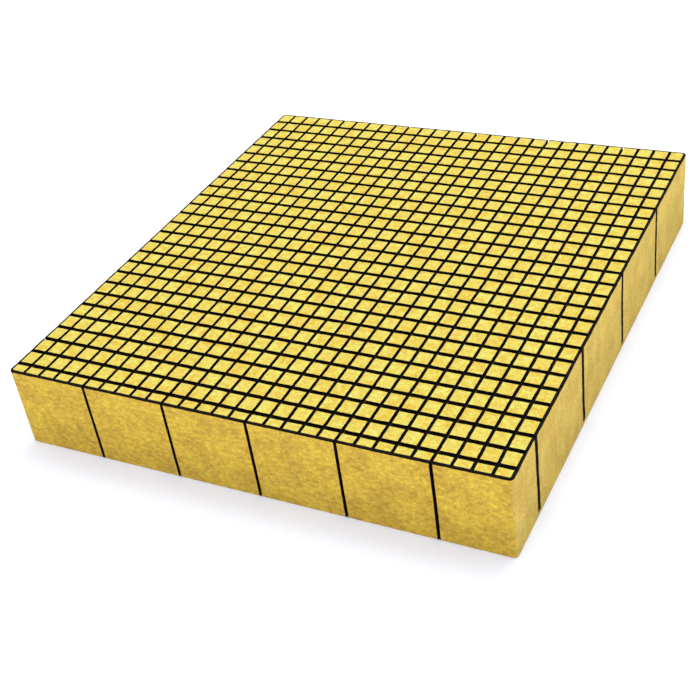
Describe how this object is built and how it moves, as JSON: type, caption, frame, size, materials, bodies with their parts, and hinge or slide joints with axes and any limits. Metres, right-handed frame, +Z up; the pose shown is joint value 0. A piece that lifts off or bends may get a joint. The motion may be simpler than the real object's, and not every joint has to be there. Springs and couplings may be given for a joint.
{
  "type": "scored floral foam slab",
  "caption": "Flat slab of floral foam, top scored into guide squares and cut through into lift-off portion blocks on a thin uncut skin.",
  "frame": {"origin": "middle of the underside, on the surface the slab lies on", "axes": "+X right along the front edge, +Y to the back along the longer side, +Z up"},
  "size_m": [0.29, 0.32, 0.05],
  "materials": {
    "block_foam": "matt open-cell foam, cut faces, blackened scores",
    "skin_foam": "matt open-cell foam, cut faces"
  },
  "bodies": {
    "base_skin": {"base_skin": "skin_foam"},
    "block_a1": {"block_a1": "block_foam"},
    "block_a2": {"block_a2": "block_foam"},
    "block_a3": {"block_a3": "block_foam"},
    "block_a4": {"block_a4": "block_foam"},
    "block_a5": {"block_a5": "block_foam"},
    "block_a6": {"block_a6": "block_foam"},
    "block_b1": {"block_b1": "block_foam"},
    "block_b2": {"block_b2": "block_foam"},
    "block_b3": {"block_b3": "block_foam"},
    "block_b4": {"block_b4": "block_foam"},
    "block_b5": {"block_b5": "block_foam"},
    "block_b6": {"block_b6": "block_foam"},
    "block_c1": {"block_c1": "block_foam"},
    "block_c2": {"block_c2": "block_foam"},
    "block_c3": {"block_c3": "block_foam"},
    "block_c4": {"block_c4": "block_foam"},
    "block_c5": {"block_c5": "block_foam"},
    "block_c6": {"block_c6": "block_foam"},
    "block_d1": {"block_d1": "block_foam"},
    "block_d2": {"block_d2": "block_foam"},
    "block_d3": {"block_d3": "block_foam"},
    "block_d4": {"block_d4": "block_foam"},
    "block_d5": {"block_d5": "block_foam"},
    "block_d6": {"block_d6": "block_foam"},
    "block_e1": {"block_e1": "block_foam"},
    "block_e2": {"block_e2": "block_foam"},
    "block_e3": {"block_e3": "block_foam"},
    "block_e4": {"block_e4": "block_foam"},
    "block_e5": {"block_e5": "block_foam"},
    "block_e6": {"block_e6": "block_foam"}
  },
  "joints": [
    {"name": "lift_a1", "type": "slide", "parent": "base_skin", "child": "block_a1", "axis": [0, 0, 1], "range_m": [0, 0.06]},
    {"name": "lift_a2", "type": "slide", "parent": "base_skin", "child": "block_a2", "axis": [0, 0, 1], "range_m": [0, 0.06]},
    {"name": "lift_a3", "type": "slide", "parent": "base_skin", "child": "block_a3", "axis": [0, 0, 1], "range_m": [0, 0.06]},
    {"name": "lift_a4", "type": "slide", "parent": "base_skin", "child": "block_a4", "axis": [0, 0, 1], "range_m": [0, 0.06]},
    {"name": "lift_a5", "type": "slide", "parent": "base_skin", "child": "block_a5", "axis": [0, 0, 1], "range_m": [0, 0.06]},
    {"name": "lift_a6", "type": "slide", "parent": "base_skin", "child": "block_a6", "axis": [0, 0, 1], "range_m": [0, 0.06]},
    {"name": "lift_b1", "type": "slide", "parent": "base_skin", "child": "block_b1", "axis": [0, 0, 1], "range_m": [0, 0.06]},
    {"name": "lift_b2", "type": "slide", "parent": "base_skin", "child": "block_b2", "axis": [0, 0, 1], "range_m": [0, 0.06]},
    {"name": "lift_b3", "type": "slide", "parent": "base_skin", "child": "block_b3", "axis": [0, 0, 1], "range_m": [0, 0.06]},
    {"name": "lift_b4", "type": "slide", "parent": "base_skin", "child": "block_b4", "axis": [0, 0, 1], "range_m": [0, 0.06]},
    {"name": "lift_b5", "type": "slide", "parent": "base_skin", "child": "block_b5", "axis": [0, 0, 1], "range_m": [0, 0.06]},
    {"name": "lift_b6", "type": "slide", "parent": "base_skin", "child": "block_b6", "axis": [0, 0, 1], "range_m": [0, 0.06]},
    {"name": "lift_c1", "type": "slide", "parent": "base_skin", "child": "block_c1", "axis": [0, 0, 1], "range_m": [0, 0.06]},
    {"name": "lift_c2", "type": "slide", "parent": "base_skin", "child": "block_c2", "axis": [0, 0, 1], "range_m": [0, 0.06]},
    {"name": "lift_c3", "type": "slide", "parent": "base_skin", "child": "block_c3", "axis": [0, 0, 1], "range_m": [0, 0.06]},
    {"name": "lift_c4", "type": "slide", "parent": "base_skin", "child": "block_c4", "axis": [0, 0, 1], "range_m": [0, 0.06]},
    {"name": "lift_c5", "type": "slide", "parent": "base_skin", "child": "block_c5", "axis": [0, 0, 1], "range_m": [0, 0.06]},
    {"name": "lift_c6", "type": "slide", "parent": "base_skin", "child": "block_c6", "axis": [0, 0, 1], "range_m": [0, 0.06]},
    {"name": "lift_d1", "type": "slide", "parent": "base_skin", "child": "block_d1", "axis": [0, 0, 1], "range_m": [0, 0.06]},
    {"name": "lift_d2", "type": "slide", "parent": "base_skin", "child": "block_d2", "axis": [0, 0, 1], "range_m": [0, 0.06]},
    {"name": "lift_d3", "type": "slide", "parent": "base_skin", "child": "block_d3", "axis": [0, 0, 1], "range_m": [0, 0.06]},
    {"name": "lift_d4", "type": "slide", "parent": "base_skin", "child": "block_d4", "axis": [0, 0, 1], "range_m": [0, 0.06]},
    {"name": "lift_d5", "type": "slide", "parent": "base_skin", "child": "block_d5", "axis": [0, 0, 1], "range_m": [0, 0.06]},
    {"name": "lift_d6", "type": "slide", "parent": "base_skin", "child": "block_d6", "axis": [0, 0, 1], "range_m": [0, 0.06]},
    {"name": "lift_e1", "type": "slide", "parent": "base_skin", "child": "block_e1", "axis": [0, 0, 1], "range_m": [0, 0.06]},
    {"name": "lift_e2", "type": "slide", "parent": "base_skin", "child": "block_e2", "axis": [0, 0, 1], "range_m": [0, 0.06]},
    {"name": "lift_e3", "type": "slide", "parent": "base_skin", "child": "block_e3", "axis": [0, 0, 1], "range_m": [0, 0.06]},
    {"name": "lift_e4", "type": "slide", "parent": "base_skin", "child": "block_e4", "axis": [0, 0, 1], "range_m": [0, 0.06]},
    {"name": "lift_e5", "type": "slide", "parent": "base_skin", "child": "block_e5", "axis": [0, 0, 1], "range_m": [0, 0.06]},
    {"name": "lift_e6", "type": "slide", "parent": "base_skin", "child": "block_e6", "axis": [0, 0, 1], "range_m": [0, 0.06]}
  ]
}
